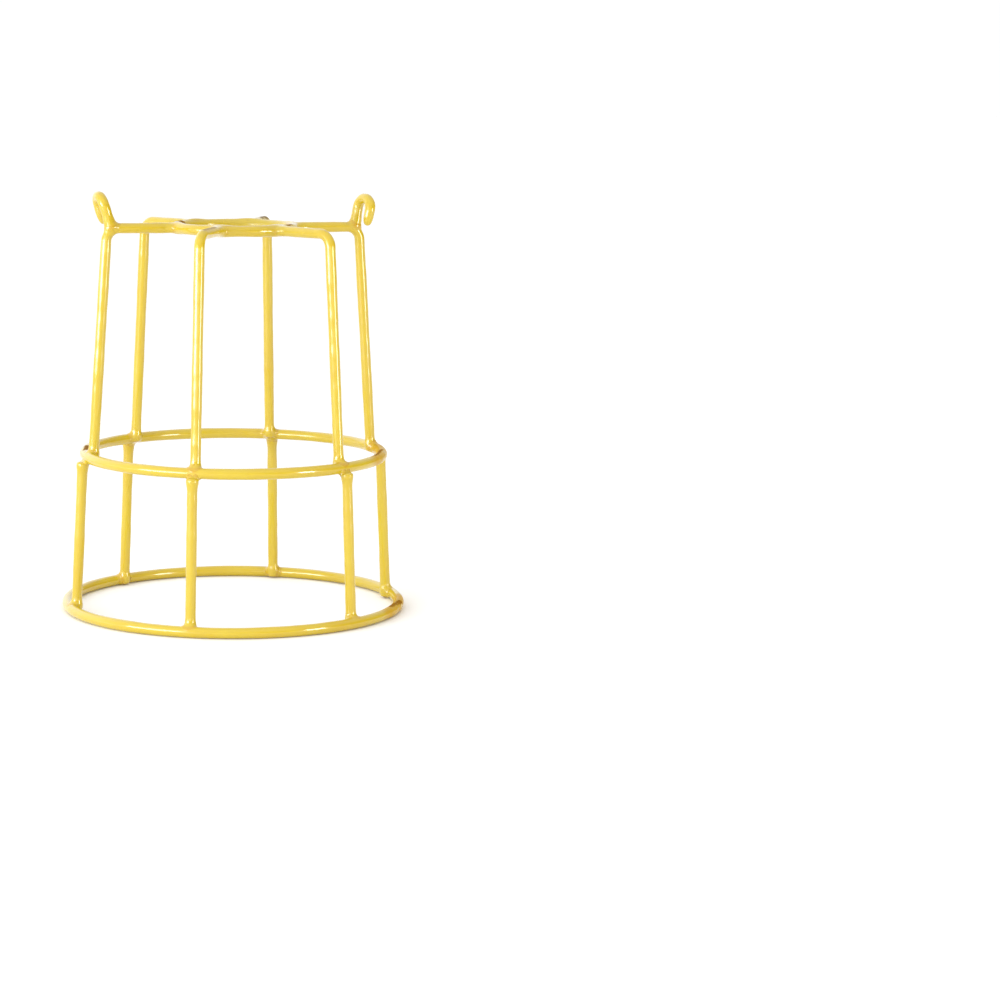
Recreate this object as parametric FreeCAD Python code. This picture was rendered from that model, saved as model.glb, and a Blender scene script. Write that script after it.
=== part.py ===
"""Bulb cage guard: a welded and dip-coated wire cage that stands over a lamp bulb.

Three horizontal rings are joined by six uprights. Each upright is two wires: a straight strut from the
mouth ring to the middle ring, and a rib from the middle ring up to a bent corner, whose top leg runs in
level as a spoke to the small collar ring round the lamp holder. Two opposite corners carry a hairpin
hook for the cable. Millimetres, +Z up the cage, origin on its axis at the floor under the mouth ring.
Radii and heights of wires are those of their centrelines, and wire sizes include the coating.
"""
import FreeCAD, Part
import math
import os

V = FreeCAD.Vector

RIB_COUNT = 6
RING_WIRE = 4.0
RIB_WIRE = 3.8

MOUTH_RADIUS = 62.0
MIDDLE_RING_INSET = 6.8     # middle ring inside the mouth ring
COLLAR_RADIUS = 21.4
MIDDLE_RISE = 56.2          # mouth ring to middle ring
SPOKE_RISE = 140.2          # mouth ring to spokes and collar ring

STRUT_FOOT_INSET = 1.9      # strut's foot lies on the inside of the mouth ring
STRUT_HEAD_OUTSET = 2.2     # strut's head lies on the outside of the middle ring
RIB_FOOT_INSET = 1.7        # rib's foot lies on the inside of the middle ring
STRUT_FOOT_GAP = 0.4        # strut's cut end above the underside of the mouth ring
STRUT_HEAD_GAP = 1.4        # strut's cut end below the middle ring's centreline
RIB_FOOT_LAP = 1.1          # rib's cut end below the middle ring's centreline

CORNER_INSET = 7.2          # meeting of a rib's and its spoke's line, inside the middle ring
CORNER_BEND = 5.0

WELD_SWELL = 0.4            # how far a weld stands out of its wire, all round
FOOT_WELD_RISE = 1.1        # from a ring's centreline up to the weld of a foot that stands on it
HEAD_WELD_DROP = 2.8        # from the middle ring's centreline down to the weld of a strut's head
SPOKE_FLARE_WIDTH = 8.2     # Y-shaped weld where a spoke meets the collar ring
SPOKE_FLARE_LENGTH = 6.0

HOOK_FOOT_INSET = 1.6       # hook's first leg inside that meeting, on the corner's bend
HOOK_GAP = 9.0              # between the centrelines of a hook's two legs
FIRST_HOOK_RISE = 11.1      # spoke centreline up to the hook's
SECOND_HOOK_RISE = 11.9
HOOK_END_RISE = 1.3         # spoke centreline up to the cut end of the free leg
HOOK_BEND = 4.0
HOOK_FLARE_LENGTH = 3.5
END_ROUND = 0.9             # how far the coating rounds a hook's cut end
HOOKS = (                   # corner, rise over the spoke, outward lean and outward turn in degrees
    (0, FIRST_HOOK_RISE, 9.0, 14.0),
    (3, SECOND_HOOK_RISE, 17.0, 2.0),
)

middle_radius = MOUTH_RADIUS - MIDDLE_RING_INSET
corner_radius = middle_radius - CORNER_INSET
mouth_height = RING_WIRE / 2
middle_height = mouth_height + MIDDLE_RISE
spoke_height = mouth_height + SPOKE_RISE


def rod(start, end, diameter):
    """Straight round wire between two points."""
    run = end - start
    return Part.makeCylinder(diameter / 2, run.Length, start, run)


def unit(vector):
    return vector / vector.Length


def bent_wire(points, bend, diameter):
    """Round wire through the points, with every corner turned on the same bend radius."""
    wire = []
    start = points[0]
    for before, corner, after in zip(points, points[1:], points[2:]):
        way_in, way_out = unit(corner - before), unit(after - corner)
        turn = way_in.getAngle(way_out)
        reach = bend * math.tan(turn / 2)
        axis = unit(way_in.cross(way_out))
        bend_start = corner - way_in * reach
        bend_centre = bend_start + axis.cross(way_in) * bend
        section = Part.Face(Part.Wire(Part.makeCircle(diameter / 2, bend_start, way_in)))
        wire.append(rod(start, bend_start, diameter))
        wire.append(section.revolve(bend_centre, axis, math.degrees(turn)))
        start = corner + way_out * reach
    wire.append(rod(start, points[-1], diameter))
    return wire[0].multiFuse(wire[1:]).removeSplitter()


def ring(radius, height):
    """Closed round hoop of ring wire."""
    return Part.makeTorus(radius, RING_WIRE / 2, V(0, 0, height), V(0, 0, 1))


def weld(radius, height):
    """Round swelling on a rib wire where it is welded to a ring."""
    return Part.makeSphere(RIB_WIRE / 2 + WELD_SWELL, V(radius, 0, height))


def make_strut():
    """Straight lower wire in the XZ plane, saddled on the mouth ring and under the middle ring."""
    foot_radius = MOUTH_RADIUS - STRUT_FOOT_INSET
    head_radius = middle_radius + STRUT_HEAD_OUTSET
    lean = (head_radius - foot_radius) / MIDDLE_RISE
    foot = V(foot_radius, 0, STRUT_FOOT_GAP)
    head = V(head_radius, 0, middle_height - STRUT_HEAD_GAP)
    wire = rod(foot, head, RIB_WIRE)
    foot_weld = weld(foot_radius + lean * FOOT_WELD_RISE, mouth_height + FOOT_WELD_RISE)
    head_weld = weld(head_radius - lean * HEAD_WELD_DROP, middle_height - HEAD_WELD_DROP)
    return wire.fuse([foot_weld, head_weld]).cut([mouth_ring, middle_ring])


def make_spoke_flare():
    """Weld that widens a spoke sideways into the flank of the collar ring."""
    root = V(COLLAR_RADIUS, 0, spoke_height)
    tip = root + V(SPOKE_FLARE_LENGTH, 0, 0)
    side, up = V(0, RIB_WIRE / 2, 0), V(0, 0, RIB_WIRE / 2)
    oval = Part.Ellipse(root + V(0, SPOKE_FLARE_WIDTH / 2, 0), root + up, root)
    circle = Part.Circle(tip + side, tip + up, tip - side)
    return Part.makeLoft([Part.Wire(oval.toShape()), Part.Wire(circle.toShape())], True)


def make_rib():
    """Upper wire in the XZ plane: leaning leg, bent corner and level spoke to the collar ring."""
    foot_radius = middle_radius - RIB_FOOT_INSET
    foot = V(foot_radius, 0, middle_height - RIB_FOOT_LAP)
    corner = V(corner_radius, 0, spoke_height)
    spoke_end = V(COLLAR_RADIUS, 0, spoke_height)
    wire = bent_wire([foot, corner, spoke_end], CORNER_BEND, RIB_WIRE)
    foot_weld = weld(foot_radius, middle_height + FOOT_WELD_RISE)
    return wire.fuse([foot_weld, make_spoke_flare()]).cut([middle_ring, collar_ring])


def make_hook(rise, lean, turn):
    """Hairpin on the corner of the rib in the XZ plane; its free leg hangs on the clockwise side."""
    foot = V(corner_radius - HOOK_FOOT_INSET, 0, spoke_height)
    top = foot + V(0, 0, rise)
    across = V(0, -HOOK_GAP, 0)
    points = [foot, top, top + across, foot + across + V(0, 0, HOOK_END_RISE)]
    wire = bent_wire(points, HOOK_BEND, RIB_WIRE)
    rim = min(wire.Edges, key=lambda edge: (edge.BoundBox.ZMax - edge.BoundBox.ZMin, edge.BoundBox.ZMax))
    wire = wire.makeFillet(END_ROUND, [rim])
    flare = Part.makeCone(RIB_WIRE / 2 + WELD_SWELL, RIB_WIRE / 2, HOOK_FLARE_LENGTH,
                          foot + V(0, 0, RIB_WIRE / 2))
    hook = wire.fuse(flare)
    hook = hook.rotated(foot, V(0, 0, 1), turn)
    hook = hook.rotated(foot, V(0, 1, 0), lean)
    return hook.cut(rib)


def turned(shape, corner):
    """Copy of a shape made in the XZ plane, turned to the given corner of the cage."""
    return shape.rotated(V(0, 0, 0), V(0, 0, 1), corner * 360 / RIB_COUNT)


mouth_ring = ring(MOUTH_RADIUS, mouth_height)
middle_ring = ring(middle_radius, middle_height)
collar_ring = ring(COLLAR_RADIUS, spoke_height)
strut = make_strut()
rib = make_rib()

nodes = {"mouth_ring": mouth_ring, "middle_ring": middle_ring, "collar_ring": collar_ring}
for corner in range(RIB_COUNT):
    nodes["lower_strut_%d" % (corner + 1)] = turned(strut, corner)
    nodes["upper_rib_%d" % (corner + 1)] = turned(rib, corner)
for number, (corner, rise, lean, turn) in enumerate(HOOKS, start=1):
    nodes["cable_hook_%d" % number] = turned(make_hook(rise, lean, turn), corner)

os.makedirs("parts", exist_ok=True)
for name, shape in nodes.items():
    shape.exportStep("parts/%s.step" % name)
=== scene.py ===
import bpy
import numpy as np
from mathutils import Matrix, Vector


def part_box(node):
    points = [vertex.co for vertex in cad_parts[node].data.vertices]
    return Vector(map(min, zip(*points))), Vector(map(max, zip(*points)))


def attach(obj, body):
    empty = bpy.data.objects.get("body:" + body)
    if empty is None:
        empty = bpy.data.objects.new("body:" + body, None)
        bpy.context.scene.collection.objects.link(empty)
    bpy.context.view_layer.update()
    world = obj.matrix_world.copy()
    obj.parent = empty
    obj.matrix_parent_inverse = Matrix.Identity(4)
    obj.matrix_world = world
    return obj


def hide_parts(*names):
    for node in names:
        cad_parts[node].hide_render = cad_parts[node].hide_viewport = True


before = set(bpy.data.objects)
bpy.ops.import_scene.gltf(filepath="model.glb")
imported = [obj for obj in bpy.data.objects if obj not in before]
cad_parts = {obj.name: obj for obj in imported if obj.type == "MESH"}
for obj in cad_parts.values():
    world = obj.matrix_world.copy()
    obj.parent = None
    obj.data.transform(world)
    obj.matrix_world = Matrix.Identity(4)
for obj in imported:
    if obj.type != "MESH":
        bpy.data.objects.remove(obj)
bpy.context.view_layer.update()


# Mouth ring: the wide hoop that the cage stands on, steel rod bent round and butt-welded shut. Six struts
# are resistance-welded to its inside. The whole cage is then dipped, and the thick glossy yellow coat
# runs into every corner between two wires. Millimetres here, metres in the mesh.
def ring_size(node):
    """Radius and height of a ring's centreline and the radius of its wire, to a tenth of a millimetre, from
    its box in the frame: the wire is half the box's height, and the centreline lies one wire inside."""
    low, high = np.array(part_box(node)) * 1000
    wire = round((high[2] - low[2]) / 2, 1)
    return round(high[0] - wire, 1), round((low[2] + high[2]) / 2, 1), wire


mouth_radius, mouth_height, hoop_wire = ring_size("mouth_ring")
middle_radius, middle_height = ring_size("middle_ring")[:2]
foot_inset, foot_gap, head_outset, head_drop, upright_wire = 1.9, 0.4, 2.2, 1.4, 1.9
strut_foot = np.array([mouth_radius - foot_inset, 0, foot_gap])
strut_head = np.array([middle_radius + head_outset, 0, middle_height - head_drop])
strut_foot_weld, strut_head_weld, weld_swell, weld_reach = 2.7, 55.0, 0.36, 1.8


def weld(along, middle):
    """Weld metal on a wire, as what it adds to the radius: a bell, the exponential of less the square of
    the distance from the weld's middle over its reach."""
    return weld_swell * np.exp(-((along - middle) / weld_reach) ** 2)


def strut_girth(along):
    """Radius along a strut: the wire's own, and a weld near each end."""
    return upright_wire + weld(along, strut_foot_weld) + weld(along, strut_head_weld)


def hoop(radius, height, wire):
    """Distance to a hoop: the misses in radius and in height, joined as the sides of a right angle, less
    the wire's radius."""
    def distance(places):
        out = np.hypot(places[..., 0], places[..., 1])
        return np.hypot(out - radius, places[..., 2] - height) - wire
    return distance


def rod(start, end, girth, ease=0.9):
    """Distance to a straight wire with eased cut ends: the misses past its side and past its nearer end,
    each brought in by the ease and joined as the sides of a right angle, less the ease."""
    length = np.linalg.norm(end - start)
    way = (end - start) / length

    def distance(places):
        along = (places - start) @ way
        past_side = np.linalg.norm(places - start - along[..., None] * way, axis=-1) - girth(along) + ease
        past_end = np.abs(along - length / 2) - length / 2 + ease
        outer = np.hypot(np.maximum(past_side, 0), np.maximum(past_end, 0))
        return outer + np.minimum(np.maximum(past_side, past_end), 0) - ease
    return distance


def at_each_corner(distance):
    """The same wire at all six corners: points are turned by whole sixths of a circle to the first one."""
    sixth = np.pi / 3

    def folded(places):
        turn = np.round(np.arctan2(places[..., 1], places[..., 0]) / sixth) * sixth
        out = places[..., 0] * np.cos(turn) + places[..., 1] * np.sin(turn)
        aside = places[..., 1] * np.cos(turn) - places[..., 0] * np.sin(turn)
        return distance(np.stack([out, aside, places[..., 2]], -1))
    return folded


def coated(places, outward, near, blend=1.5, strides=12, halvings=11):
    """Coat run into the corners: each point moves out along its own line to the first place where the
    soft union of its wire and the wires near it is zero. The soft union of two distances is the lesser,
    less (blend - their difference) squared over four blends while they differ by less than the blend.
    The place is found between two strides, and then by halving. Returns the new places, and the share
    of the blend that each has moved."""
    def union(moved):
        joined = moved
        for wire in near:
            other = wire(places + outward * moved[..., None])
            overlap = np.maximum(blend - np.abs(joined - other), 0)
            joined = np.minimum(joined, other) - overlap ** 2 / (4 * blend)
        return joined

    inside, outside = np.zeros(places.shape[:-1]), np.full(places.shape[:-1], blend)
    searching = np.full(inside.shape, True)
    for step in np.linspace(0, blend, strides + 1)[1:]:
        clear = union(np.full(inside.shape, step)) > 0
        outside = np.where(searching & clear, step, outside)
        searching &= ~clear
        inside = np.where(searching, step, inside)
    for halving in range(halvings):
        middle = (inside + outside) / 2
        clear = union(middle) > 0
        inside, outside = np.where(clear, inside, middle), np.where(clear, middle, outside)
    return places + outward * outside[..., None], outside / blend


def stations(length, joints, coarse=0.9, fine=0.24, reach=4.5, samples=6000):
    """Distances along a wire whose spacing falls from coarse to fine within the reach of each joint: the
    density of stations is summed along the wire, and read back at whole counts."""
    along = np.linspace(0, length, samples)
    closeness = np.minimum(sum(np.exp(-((along - joint) / reach) ** 4) for joint in joints), 1)
    density = 1 / coarse + (1 / fine - 1 / coarse) * closeness
    count = np.concatenate([[0], np.cumsum((density[1:] + density[:-1]) / 2 * np.diff(along))])
    return np.interp(np.linspace(0, count[-1], int(count[-1]) + 1), count, along)


def unevenness(share, waves, seed, swell=0.045):
    """Slow swell and fall of a dipped coat, in millimetres: sines along the wire, each weaker than the one
    before, with whole numbers of waves so that they also close round a hoop."""
    return swell * sum(np.sin(2 * np.pi * share * wave + seed * (3 + wave)) / (1 + number)
                       for number, wave in enumerate(waves))


def skin(name, rows, moved, finish, node):
    """Closed mesh over a grid of points, a row for each station along a wire and a column for each way
    round it. The rows of a hoop close on themselves, and the end rows of a cut wire become poles."""
    turns = rows.shape[1]
    grid = np.arange(rows.shape[0] * turns).reshape(-1, turns)
    cut = np.ptp(rows[0], axis=0).max() < 1e-6      # the whole first row is one point
    if cut:
        grid = grid[1:-1] - turns + 1
        places = np.vstack([rows[0, :1], rows[1:-1].reshape(-1, 3), rows[-1, :1]])
        shares = np.concatenate([moved[0, :1], moved[1:-1].ravel(), moved[-1, :1]])
    else:
        grid = np.vstack([grid, grid[:1]])
        places, shares = rows.reshape(-1, 3), moved.ravel()
    beside = np.roll(grid, -1, axis=1)
    faces = np.stack([grid[:-1], grid[1:], beside[1:], beside[:-1]], -1).reshape(-1, 4).tolist()
    if cut:
        faces += np.stack([np.zeros_like(grid[0]), grid[0], beside[0]], -1).tolist()
        faces += np.stack([np.full_like(grid[0], len(places) - 1), beside[-1], grid[-1]], -1).tolist()
    mesh = bpy.data.meshes.new(name)
    mesh.from_pydata((places / 1000).tolist(), [], faces)
    mesh.polygons.foreach_set("use_smooth", np.full(len(faces), True))
    mesh.attributes.new("coat_run", "FLOAT", "POINT").data.foreach_set("value", shares.astype(np.float32))
    mesh.materials.append(finish)
    piece = bpy.data.objects.new(name, mesh)
    bpy.context.scene.collection.objects.link(piece)
    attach(piece, "root")
    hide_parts(node)


def hoop_rows(radius, height, wire, near, waves, seed, columns=44, hang=0.05):
    """Grid round a hoop: place = radius and height of the centreline plus the wire's radius turned from
    outward to upward. The coat hangs a little thicker underneath, and runs into the near wires."""
    around = 2 * np.pi * radius
    along = stations(around, around / 6 * np.arange(7))[:-1]
    azimuth, way_round = np.meshgrid(along / radius, np.linspace(0, 2 * np.pi, columns, False), indexing="ij")
    outward = np.stack([np.cos(azimuth) * np.cos(way_round), np.sin(azimuth) * np.cos(way_round),
                        np.sin(way_round)], -1)
    coat = wire + unevenness(azimuth / (2 * np.pi), waves, seed) - hang * np.sin(way_round)
    centre = np.stack([radius * np.cos(azimuth), radius * np.sin(azimuth),
                       np.full(azimuth.shape, height)], -1)
    return coated(centre + outward * coat[..., None], outward, near)


class Wired:
    """An output socket in a material's arithmetic. Signs on it add Math nodes, and node() adds any other
    kind of node, with its settings first and then the values or links of its sockets."""
    def __init__(self, tree, socket=None):
        self.tree, self.socket = tree, socket

    def node(self, kind, sockets, output=0, **settings):
        made = self.tree.nodes.new(kind)
        for setting, value in settings.items():
            setattr(made, setting, value)
        for socket, value in sockets.items():
            if isinstance(value, Wired):
                self.tree.links.new(value.socket, made.inputs[socket])
            else:
                made.inputs[socket].default_value = value
        return Wired(self.tree, made.outputs[output])

    def math(self, operation, first, second):
        return self.node("ShaderNodeMath", {0: first, 1: second}, operation=operation)

    def vector(self, operation, first, second, output=0):
        return self.node("ShaderNodeVectorMath", {0: first, 1: second}, output, operation=operation)

    def __add__(self, other):
        return self.math("ADD", self, other)

    def __sub__(self, other):
        return self.math("SUBTRACT", self, other)

    def __rsub__(self, other):
        return self.math("SUBTRACT", other, self)

    def __mul__(self, other):
        return self.math("MULTIPLY", self, other)

    __radd__, __rmul__ = __add__, __mul__

    def noise(self, scale, detail=2.0):
        return self.node("ShaderNodeTexNoise", {"Vector": self, "Scale": scale, "Detail": detail})

    def between(self, low, high):
        """0 below low, 1 above high, and an S-curve between."""
        return self.node("ShaderNodeMapRange", {"Value": self, "From Min": low, "From Max": high},
                         interpolation_type="SMOOTHSTEP")

    def mix(self, under, over):
        """Colour under where this value is 0, over where it is 1."""
        return self.node("ShaderNodeMix", {0: self, 6: under, 7: over}, output=2, data_type="RGBA")


def yellow_coat(name, rubs_and_reflections=()):
    """Thick glossy yellow dip coat. It is paler where thin and deeper where it has pooled between wires, a
    deepening that also paints shade into the corners, with the skin of a coat that has flowed, a few specks
    of dust under it, and marks: worn places and patches of painted dark reflection. A mark is its two ends
    and reach in millimetres, its colour and how much of the yellow it hides. The miss to it is the length
    from a point to the nearest point between the ends, noise breaks up its edge, and a wide one fades out
    more slowly."""
    thin_yellow, deep_yellow, dust = (0.50, 0.378, 0.005, 1), (0.46, 0.275, 0.001, 1), (0.30, 0.15, 0.03, 1)
    material = bpy.data.materials.new(name)
    material.use_nodes = True
    tree = material.node_tree
    shader = tree.nodes["Principled BSDF"]
    place = Wired(tree).node("ShaderNodeTexCoord", {}, output=3)
    run = Wired(tree).node("ShaderNodeAttribute", {}, output=2, attribute_name="coat_run")
    slow, middling, fast = place.noise(45.0), place.noise(330.0), place.noise(1500.0)   # 22, 3 and 0.7 mm
    # The coat_run term deepens the yellow where the coat pooled between wires, and so also paints shade into
    # the corners.
    deep = slow * 0.55 + middling * 0.25 + run.between(0.05, 0.7) * 0.45 - 0.1
    colour = deep.between(0.0, 1.0).mix(thin_yellow, deep_yellow)
    grain = place.node("ShaderNodeTexVoronoi", {"Vector": place, "Scale": 210.0})       # 5 mm apart
    dusty = place.noise(130.0).between(0.56, 0.62)
    speck = (1 - grain.between(0.03, 0.075)) * dusty
    colour = (speck * 0.7).mix(colour, dust)
    worn_and_reflection = speck * 0.3
    # The marks are worn places and patches of painted dark reflection; each lays its colour over the yellow
    # and dulls the coat.
    for start, end, reach, stain_and_reflection, cover in rubs_and_reflections:
        start, span = np.array(start) / 1000, (np.array(end) - start) / 1000
        offset = place.vector("SUBTRACT", place, tuple(start))
        share = offset.vector("DOT_PRODUCT", offset, tuple(span / (span @ span)), output=1)
        share = share.node("ShaderNodeClamp", {"Value": share})
        nearest = share.node("ShaderNodeVectorMath", {0: tuple(span), "Scale": share}, operation="SCALE")
        miss = offset.vector("DISTANCE", offset, nearest, output=1) * (1000 / reach)
        rough_miss = miss + fast * 1.9 + middling * 1.5 - 1.7
        full, none = max(0.05, 0.9 - reach * 0.3), 1.1 + reach * 0.15
        rub_and_reflection = (1 - rough_miss.between(full, none)) * cover
        colour = rub_and_reflection.mix(colour, stain_and_reflection)
        worn_and_reflection = worn_and_reflection + rub_and_reflection
    rough = 0.30 + middling * 0.08 + worn_and_reflection * 0.5
    height = fast * 0.35 + middling * 0.65
    bump = height.node("ShaderNodeBump", {"Height": height, "Strength": 0.16, "Distance": 0.0002})
    gloss = (1 - worn_and_reflection).between(0.0, 1.0)
    for socket, value in (("Base Color", colour), ("Roughness", rough), ("Coat Weight", gloss),
                          ("Normal", bump)):
        tree.links.new(value.socket, shader.inputs[socket])
    shader.inputs["Specular IOR Level"].default_value = 0.12
    shader.inputs["Coat IOR"].default_value = 1.68
    shader.inputs["Coat Roughness"].default_value = 0.13
    return material


mouth_hoop = hoop(mouth_radius, mouth_height, hoop_wire)
strut = rod(strut_foot, strut_head, strut_girth)
rows, moved = hoop_rows(mouth_radius, mouth_height, hoop_wire, [at_each_corner(strut)],
                        waves=(5, 13, 31), seed=1)
# The brown colour is a painted dark reflection. The rust colour is real rust on some marks and painted dark
# reflection on others.
painted_brown_reflection, rust_and_dark_reflection = (0.45, 0.235, 0.008, 1), (0.23, 0.095, 0.002, 1)
# Both mouth ring marks are painted: a wide dark reflection on its right end, and a narrow darker line of the
# same reflection inside it.
mouth_coat = yellow_coat("mouth_ring_coat", rubs_and_reflections=(
    ((47.5, -40.0, 2.5), (61.0, -17.0, 2.8), 4.0, painted_brown_reflection, 0.75),
    ((50.0, -36.2, 3.9), (57.8, -26.2, 3.7), 1.2, rust_and_dark_reflection, 0.9)))
skin("mouth_ring_coated", rows, moved, mouth_coat, "mouth_ring")


# Middle ring: the second hoop, nearly 14 mm less across, which stiffens the cage below half its height. The
# heads of the struts stop on its outside, just under it, and the feet of the ribs stand on its inside.
collar_radius, spoke_height = ring_size("collar_ring")[:2]
rib_inset, rib_lap, corner_inset, rib_bend, rib_foot_weld = 1.7, 1.1, 7.2, 5.0, 2.2
rib_foot = np.array([middle_radius - rib_inset, 0, middle_height - rib_lap])
rib_corner = np.array([middle_radius - corner_inset, 0, spoke_height])


def rib_girth(along):
    """Radius along a rib: the wire's own, and a weld over its foot."""
    return upright_wire + weld(along, rib_foot_weld)


middle_hoop = hoop(middle_radius, middle_height, hoop_wire)
rib_leg = rod(rib_foot, rib_corner, rib_girth)
rows, moved = hoop_rows(middle_radius, middle_height, hoop_wire,
                        [at_each_corner(strut), at_each_corner(rib_leg)], waves=(4, 11, 27), seed=2)
# Middle ring marks: the first two, on its right end, are a wide painted dark reflection and a narrow darker
# line of it; the third, on its left end, is rust.
middle_coat = yellow_coat("middle_ring_coat", rubs_and_reflections=(
    ((44.5, -34.5, 58.8), (55.0, -6.0, 59.5), 4.0, painted_brown_reflection, 0.7),
    ((44.9, -31.6, 60.1), (51.8, -18.2, 60.1), 1.0, rust_and_dark_reflection, 0.9),
    ((-55.0, 7.0, 60.1), (-51.6, 17.8, 60.1), 1.1, rust_and_dark_reflection, 0.95)))
skin("middle_ring_coated", rows, moved, middle_coat, "middle_ring")


# Collar ring: the small hoop that goes round the neck of the lamp holder. Six spokes run into its outer
# flank, level with it, and each joint is drawn out sideways into a Y of weld and coat.
flare_swell, flare_length = 2.8, 6.0


def spoke_half_width(out):
    """Half the width of a spoke, by the distance out from the collar's centreline: the wire's own, and a
    flare that grows as a power of the nearness to the collar."""
    return upright_wire + flare_swell * np.clip(1 - out / flare_length, 0, 1) ** 1.7


def spoke(places):
    """Distance to a spoke: the sideways miss is scaled down by its widening, and joined with the miss in
    height as the sides of a right angle, less the wire. It ends in the middle of the collar's wire."""
    aside = places[..., 1] * upright_wire / spoke_half_width(places[..., 0] - collar_radius)
    beside = np.hypot(aside, places[..., 2] - spoke_height) - upright_wire
    return np.maximum(beside, collar_radius - places[..., 0])


collar_hoop = hoop(collar_radius, spoke_height, hoop_wire)
rows, moved = hoop_rows(collar_radius, spoke_height, hoop_wire, [at_each_corner(spoke)],
                        waves=(3, 7, 11), seed=3)
collar_coat = yellow_coat("collar_ring_coat", rubs_and_reflections=(
    ((-20.8, 6.5, 143.9), (-17.1, 11.4, 143.9), 1.5, rust_and_dark_reflection, 0.95),
    ((17.6, -12.4, 144.0), (14.8, -15.6, 144.0), 1.0, rust_and_dark_reflection, 0.9)))
skin("collar_ring_coated", rows, moved, collar_coat, "collar_ring")


# Lower struts: six straight wires, cut just above the underside of the mouth ring and just below the middle
# of the middle ring. They lean in by nearly 3 mm on the way up. Weld metal swells them at both rings.
def turned(places, degrees):
    """Points turned about the cage's axis."""
    cosine, sine = np.cos(np.radians(degrees)), np.sin(np.radians(degrees))
    return places @ np.array([[cosine, sine, 0], [-sine, cosine, 0], [0, 0, 1]])


def cut_ends(along, ease, stops=12):
    """Stations and shares of full girth with coated cut ends added: over a quarter turn the station goes
    as ease times one less the cosine, and the girth as a low power of the sine, which is a blunt dome."""
    angle = np.linspace(0, np.pi / 2, stops)[:-1]
    cap, share = ease * (1 - np.cos(angle)), np.sin(angle) ** 0.6
    inner = along[(along > ease) & (along < along[-1] - ease)]
    return (np.concatenate([cap, inner, along[-1] - cap[::-1]]),
            np.concatenate([share, np.ones(len(inner)), share[::-1]]))


def wire_rows(places, headings, side, across, through, near, columns=40):
    """Grid round a wire that keeps to a plane. The side is the plane's normal, and the section is an oval
    of the two radii: across along the side, and through square to it and to the heading. The way out is
    the cross product of the steps along and round the grid, and at the poles it is the heading."""
    way_round = np.linspace(0, 2 * np.pi, columns, False)[None, :, None]
    through_way = np.cross(headings, side)[:, None]
    rows = (places[:, None] + through_way * np.cos(way_round) * through[:, None, None]
            + side * np.sin(way_round) * across[:, None, None])
    outward = np.cross(np.gradient(rows, axis=0), np.roll(rows, -1, axis=1) - np.roll(rows, 1, axis=1))
    outward[0], outward[-1] = -headings[0], headings[-1]
    outward /= np.linalg.norm(outward, axis=-1, keepdims=True)
    return coated(rows, outward, near)


cut_ease = 0.9
strut_length = np.linalg.norm(strut_head - strut_foot)
strut_way = (strut_head - strut_foot) / strut_length
along, share = cut_ends(stations(strut_length, (0, strut_length), reach=7.0), cut_ease)
places, headings = strut_foot + along[:, None] * strut_way, np.tile(strut_way, (len(along), 1))
strut_coat = yellow_coat("strut_coat")
for corner in range(6):
    coat = unevenness(along / strut_length, waves=(2, 5, 9), seed=corner)
    radius = (strut_girth(along) + coat) * share
    rows, moved = wire_rows(places, headings, np.array([0.0, 1, 0]), radius, radius,
                            [mouth_hoop, middle_hoop])
    skin("lower_strut_%d_coated" % (corner + 1), turned(rows, corner * 60), moved, strut_coat,
         "lower_strut_%d" % (corner + 1))


# Upper ribs and spokes: six wires, each bent once near its end. The long leg stands on the inside of the
# middle ring and leans in, and the short leg runs in level as a spoke and widens into the collar ring.
def bent_line(points, bend):
    """Line through the points, each corner replaced by an arc. Returns its length, and a function from
    distances along it to places and headings: on a run the place is the start plus the heading times the
    distance, and on an arc the heading turns at a constant rate."""
    parts, start, gone = [], points[0], 0.0
    for number in range(1, len(points)):
        way = (points[number] - start) / np.linalg.norm(points[number] - start)
        last = number == len(points) - 1
        step = way if last else points[number + 1] - points[number]
        after = step / np.linalg.norm(step)
        turn = np.arccos(np.clip(way @ after, -1, 1))
        run = np.linalg.norm(points[number] - start) - bend * np.tan(turn / 2)
        parts.append((gone, start, way, way, np.inf))
        if not last:
            aside = (after - way * (way @ after)) / np.sin(turn)
            parts.append((gone + run, start + way * run, way, aside, bend))
        gone += run + bend * turn
        start = points[number] + after * bend * np.tan(turn / 2)

    def at(along):
        places, headings = np.empty((len(along), 3)), np.empty((len(along), 3))
        for begins, begin, way, aside, radius in parts:
            on = along >= begins
            past = (along[on] - begins)[:, None]
            if radius == np.inf:
                places[on], headings[on] = begin + way * past, way
            else:
                angle = past / radius
                places[on] = begin + radius * (np.sin(angle) * way + (1 - np.cos(angle)) * aside)
                headings[on] = np.cos(angle) * way + np.sin(angle) * aside
        return places, headings
    return gone, at


# The hooks stand on the ribs of two opposite corners: corner, rise, outward lean and turn in degrees.
hook_inset, hook_weld_swell, hook_weld_reach, leg_ease = 1.6, 0.5, 3.6, 0.1
hook_foot = rib_corner - np.array([hook_inset, 0, 0])
hooks = ((0, 11.1, 9.0, 14.0), (3, 11.9, 17.0, 2.0))


def hook_girth(along):
    """Radius along a hook's first leg: the wire's own, and weld metal that thins out up the leg."""
    return upright_wire + hook_weld_swell * np.exp(-(along / hook_weld_reach) ** 2)


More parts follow.
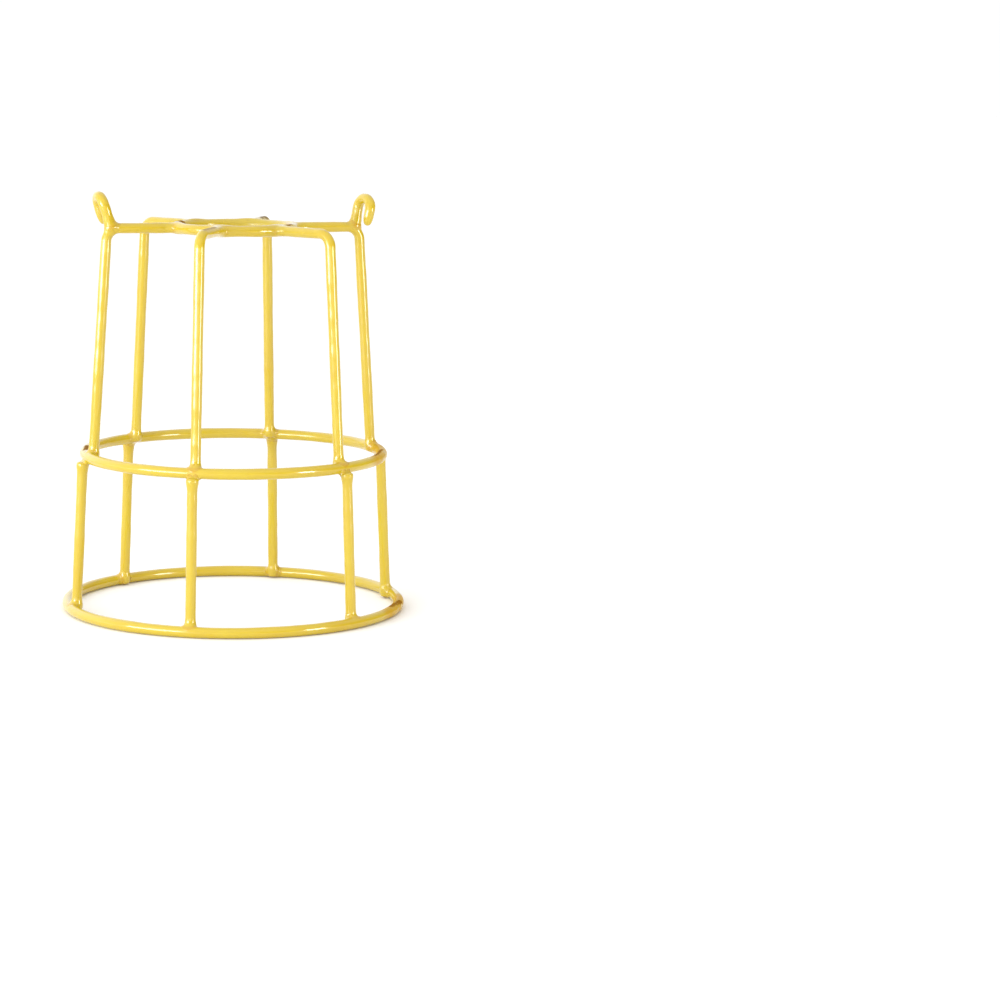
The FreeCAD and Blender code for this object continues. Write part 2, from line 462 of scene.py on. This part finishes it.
rib_length, rib_at = bent_line([rib_foot, rib_corner, np.array([collar_radius, 0, spoke_height])], rib_bend)
before_bend, past_bend, at_flare = rib_length - 30.0, rib_length - 24.0, rib_length - 3.0
along, share = cut_ends(stations(rib_length, (0, before_bend, past_bend, at_flare), reach=6.0), cut_ease)
places, headings = rib_at(along)
bare_steel, thin_coat = (0.20, 0.14, 0.07, 1), (0.38, 0.29, 0.15, 1)
rib_rubs = {1: (((18.0, 31.0, 144.3), (23.6, 40.6, 143.4), 1.7, bare_steel, 0.95),),
            4: (((-21.4, -38.0, 143.9), (-14.6, -25.8, 144.2), 1.0, thin_coat, 0.9),)}
for corner in range(6):
    near = [middle_hoop, collar_hoop]
    for hook_corner, rise, lean, turn in hooks:
        if hook_corner == corner:
            up = np.array([np.sin(np.radians(lean)), 0, np.cos(np.radians(lean))])
            near.append(rod(hook_foot, hook_foot + up * rise, hook_girth, leg_ease))
    coat = unevenness(along / rib_length, waves=(3, 8, 17), seed=corner + 10)
    through = (rib_girth(along) + coat) * share
    across = through + (spoke_half_width(rib_length - along) - upright_wire) * share
    rows, moved = wire_rows(places, headings, np.array([0.0, 1, 0]), across, through, near)
    skin("upper_rib_%d_coated" % (corner + 1), turned(rows, corner * 60), moved,
         yellow_coat("rib_%d_coat" % (corner + 1), rib_rubs.get(corner, ())), "upper_rib_%d" % (corner + 1))


# Cable hooks: two short wires bent twice into a hairpin, welded by one leg on opposite corners of the
# cage. They lean out, and the free leg hangs beside the rib and thins to a blunt point, with a gap under
# it for the cable.
hook_gap, hook_bend, hook_end, hook_toe_in = 9.0, 4.0, 1.3, 0.7
hook_ease, point_thinning, point_length = 1.3, 0.35, 4.5
leg_way = (rib_corner - rib_foot) / np.linalg.norm(rib_corner - rib_foot)
bend_setback = rib_bend * np.tan(np.arccos(-leg_way[0]) / 2)
bend_centre = rib_corner - np.array([bend_setback, 0, rib_bend])


def rib_top(places):
    """Distance to the bent top of a rib: to the arc of the bend above and outside its centre, and to the
    lines of the spoke and the leg elsewhere."""
    out, height = places[..., 0] - bend_centre[0], places[..., 2] - bend_centre[2]
    arc = np.hypot(np.hypot(out, height) - rib_bend, places[..., 1])
    level = np.hypot(places[..., 2] - spoke_height, places[..., 1])
    upright = np.linalg.norm(np.cross(places - rib_foot, leg_way), axis=-1)
    return np.where((out > 0) & (height > 0), arc, np.minimum(level, upright)) - upright_wire


hook_coat = yellow_coat("hook_coat")
for number, (corner, rise, lean, turn) in enumerate(hooks, start=1):
    line = np.array([[0, 0, 0], [0, 0, rise], [0, -hook_gap, rise], [0, hook_toe_in - hook_gap, hook_end]])
    cosine, sine = np.cos(np.radians(lean)), np.sin(np.radians(lean))
    leaning = np.array([[cosine, 0, -sine], [0, 1, 0], [sine, 0, cosine]])
    line = turned(line, turn) @ leaning + hook_foot
    length, hook_at = bent_line(line, hook_bend)
    along, share = cut_ends(stations(length, (0, length), coarse=0.5, reach=7.0), hook_ease)
    places, headings = hook_at(along)
    taper = 1 - point_thinning * np.clip((along - length) / point_length + 1, 0, 1) ** 2
    coat = unevenness(along / length, waves=(2, 5, 9), seed=number + 20)
    radius = (hook_girth(along) + coat) * share * taper
    side = turned(np.array([1.0, 0, 0]), turn) @ leaning
    rows, moved = wire_rows(places, headings, side, radius, radius, [rib_top])
    skin("cable_hook_%d_coated" % number, turned(rows, corner * 60), moved, hook_coat,
         "cable_hook_%d" % number)


# Floor: one wide round sheet of matt white board. The cage stands on it loose, and the coat that hangs
# under the mouth ring just touches it. It is so wide that its edge lies near the horizon.
floor_reach, floor_height = 9.0, -0.0001


def floor_sheet(circles=24, sectors=96):
    """Flat round sheet: a grid of radius and azimuth at one height, with the radius growing as a square."""
    radius, azimuth = np.meshgrid(floor_reach * np.linspace(0, 1, circles)[1:] ** 2,
                                  np.linspace(0, 2 * np.pi, sectors, False), indexing="ij")
    places = np.stack([radius * np.cos(azimuth), radius * np.sin(azimuth),
                       np.full(radius.shape, floor_height)], -1)
    grid = np.arange(radius.size).reshape(radius.shape) + 1
    beside = np.roll(grid, -1, axis=1)
    faces = np.stack([grid[:-1], grid[1:], beside[1:], beside[:-1]], -1).reshape(-1, 4).tolist()
    faces += np.stack([np.zeros_like(grid[0]), grid[0], beside[0]], -1).tolist()
    mesh = bpy.data.meshes.new("floor")
    mesh.from_pydata([(0, 0, floor_height)] + places.reshape(-1, 3).tolist(), [], faces)
    return mesh


floor_paint = bpy.data.materials.new("floor_paint")
floor_paint.use_nodes = True
floor_shader = floor_paint.node_tree.nodes["Principled BSDF"]
floor_shader.inputs["Base Color"].default_value = (0.9, 0.9, 0.9, 1)
floor_shader.inputs["Roughness"].default_value = 0.9
floor = bpy.data.objects.new("floor", floor_sheet())
floor.data.materials.append(floor_paint)
bpy.context.scene.collection.objects.link(floor)


# Studio light: a white room, brighter on the camera's left, behind and overhead, and warm low on its
# right, with a bright band low in front that the uprights mirror. The camera itself sees it plain white.
# Two soft boxes on the left give the rings their long streaks, and one on the right the short ones.
world = bpy.data.worlds.new("white_room")
world.use_nodes = True
background = world.node_tree.nodes["Background"]
direction = Wired(world.node_tree).node("ShaderNodeTexCoord", {})
upward = direction.vector("DOT_PRODUCT", direction, (0, 0, 1), output=1)


def towards(azimuth):
    """Cosine of the angle between a direction and a level line to an azimuth in degrees."""
    level = (np.cos(np.radians(azimuth)), np.sin(np.radians(azimuth)), 0)
    return direction.vector("DOT_PRODUCT", direction, level, output=1)


camera_left, camera_right, camera_side, far_side = 195.0, -25.0, 247.0, 110.0
horizon = 1 - (upward * upward).between(0.0005, 0.01)
low_band = horizon * towards(camera_side).between(-0.35, 0.1)
behind = towards(far_side).between(0.3, 0.95)
room = towards(camera_left) * 0.34 + upward * 0.6 + 0.70 + behind * 0.6 + low_band * 2.4
seen = direction.node("ShaderNodeLightPath", {})        # 1 where the camera itself looks at the room
backdrop_white = 1.02
shown = room + seen * (backdrop_white - room)
world.node_tree.links.new(shown.socket, background.inputs["Strength"])
warm = towards(camera_right).between(-0.1, 0.8) * (1 - upward.between(0.15, 0.6)) * (1 - seen)
tint = warm.mix((1, 1, 1, 1), (1.0, 0.76, 0.30, 1))
world.node_tree.links.new(tint.socket, background.inputs["Color"])
bpy.context.scene.world = world
cage_middle = np.array([0, 0, 0.07])


def facing(aim, azimuth, elevation, distance, roll=0.0):
    """Matrix of a lamp or camera that faces an aim from an azimuth, an elevation and a distance, with angles
    in degrees. The back is the unit line from the aim, the level line is square to it, and the roll turns
    the right from level towards the top. The columns are the right, the top, the back and the place."""
    azimuth, elevation, roll = np.radians((azimuth, elevation, roll))
    level = np.array([-np.sin(azimuth), np.cos(azimuth), 0])
    back = np.array([np.cos(azimuth) * np.cos(elevation), np.sin(azimuth) * np.cos(elevation),
                     np.sin(elevation)])
    right = level * np.cos(roll) + np.cross(back, level) * np.sin(roll)
    columns = np.column_stack([right, np.cross(back, right), back, back * distance + aim])
    return Matrix(columns.tolist() + [[0, 0, 0, 1]])


def soft_box(name, width, height, power, **place):
    """Area light that faces the middle of the cage from a place, as facing() takes it."""
    light = bpy.data.lights.new(name, "AREA")
    light.shape, light.size, light.size_y, light.energy = "RECTANGLE", width, height, power
    lamp = bpy.data.objects.new(name, light)
    lamp.matrix_world = facing(cage_middle, **place)
    bpy.context.scene.collection.objects.link(lamp)


soft_box("key_box", width=0.55, height=0.36, power=1.2, azimuth=-158.0, elevation=14.0, distance=0.75)
soft_box("key_core", width=0.50, height=0.16, power=2.6, azimuth=-158.0, elevation=6.0, distance=0.75)
soft_box("low_box", width=0.22, height=0.28, power=3.2, azimuth=-51.0, elevation=5.0, distance=1.0)


# Camera: a long lens a little above the spokes, with its frame as in the photograph. It is aimed at the
# middle of that frame, which lies beside the cage, and is rolled by a degree.
lens = bpy.data.cameras.new("camera")
lens.sensor_width, lens.lens = 36.0, 104.4      # millimetres
camera = bpy.data.objects.new("camera", lens)
frame_middle = np.array([0.0920, -0.0387, 0.0426])
camera.matrix_world = facing(frame_middle, azimuth=-110.38, elevation=8.91, distance=1.0833, roll=0.97)
bpy.context.scene.collection.objects.link(camera)
bpy.context.scene.camera = camera
bpy.context.scene.view_settings.view_transform = "Standard"
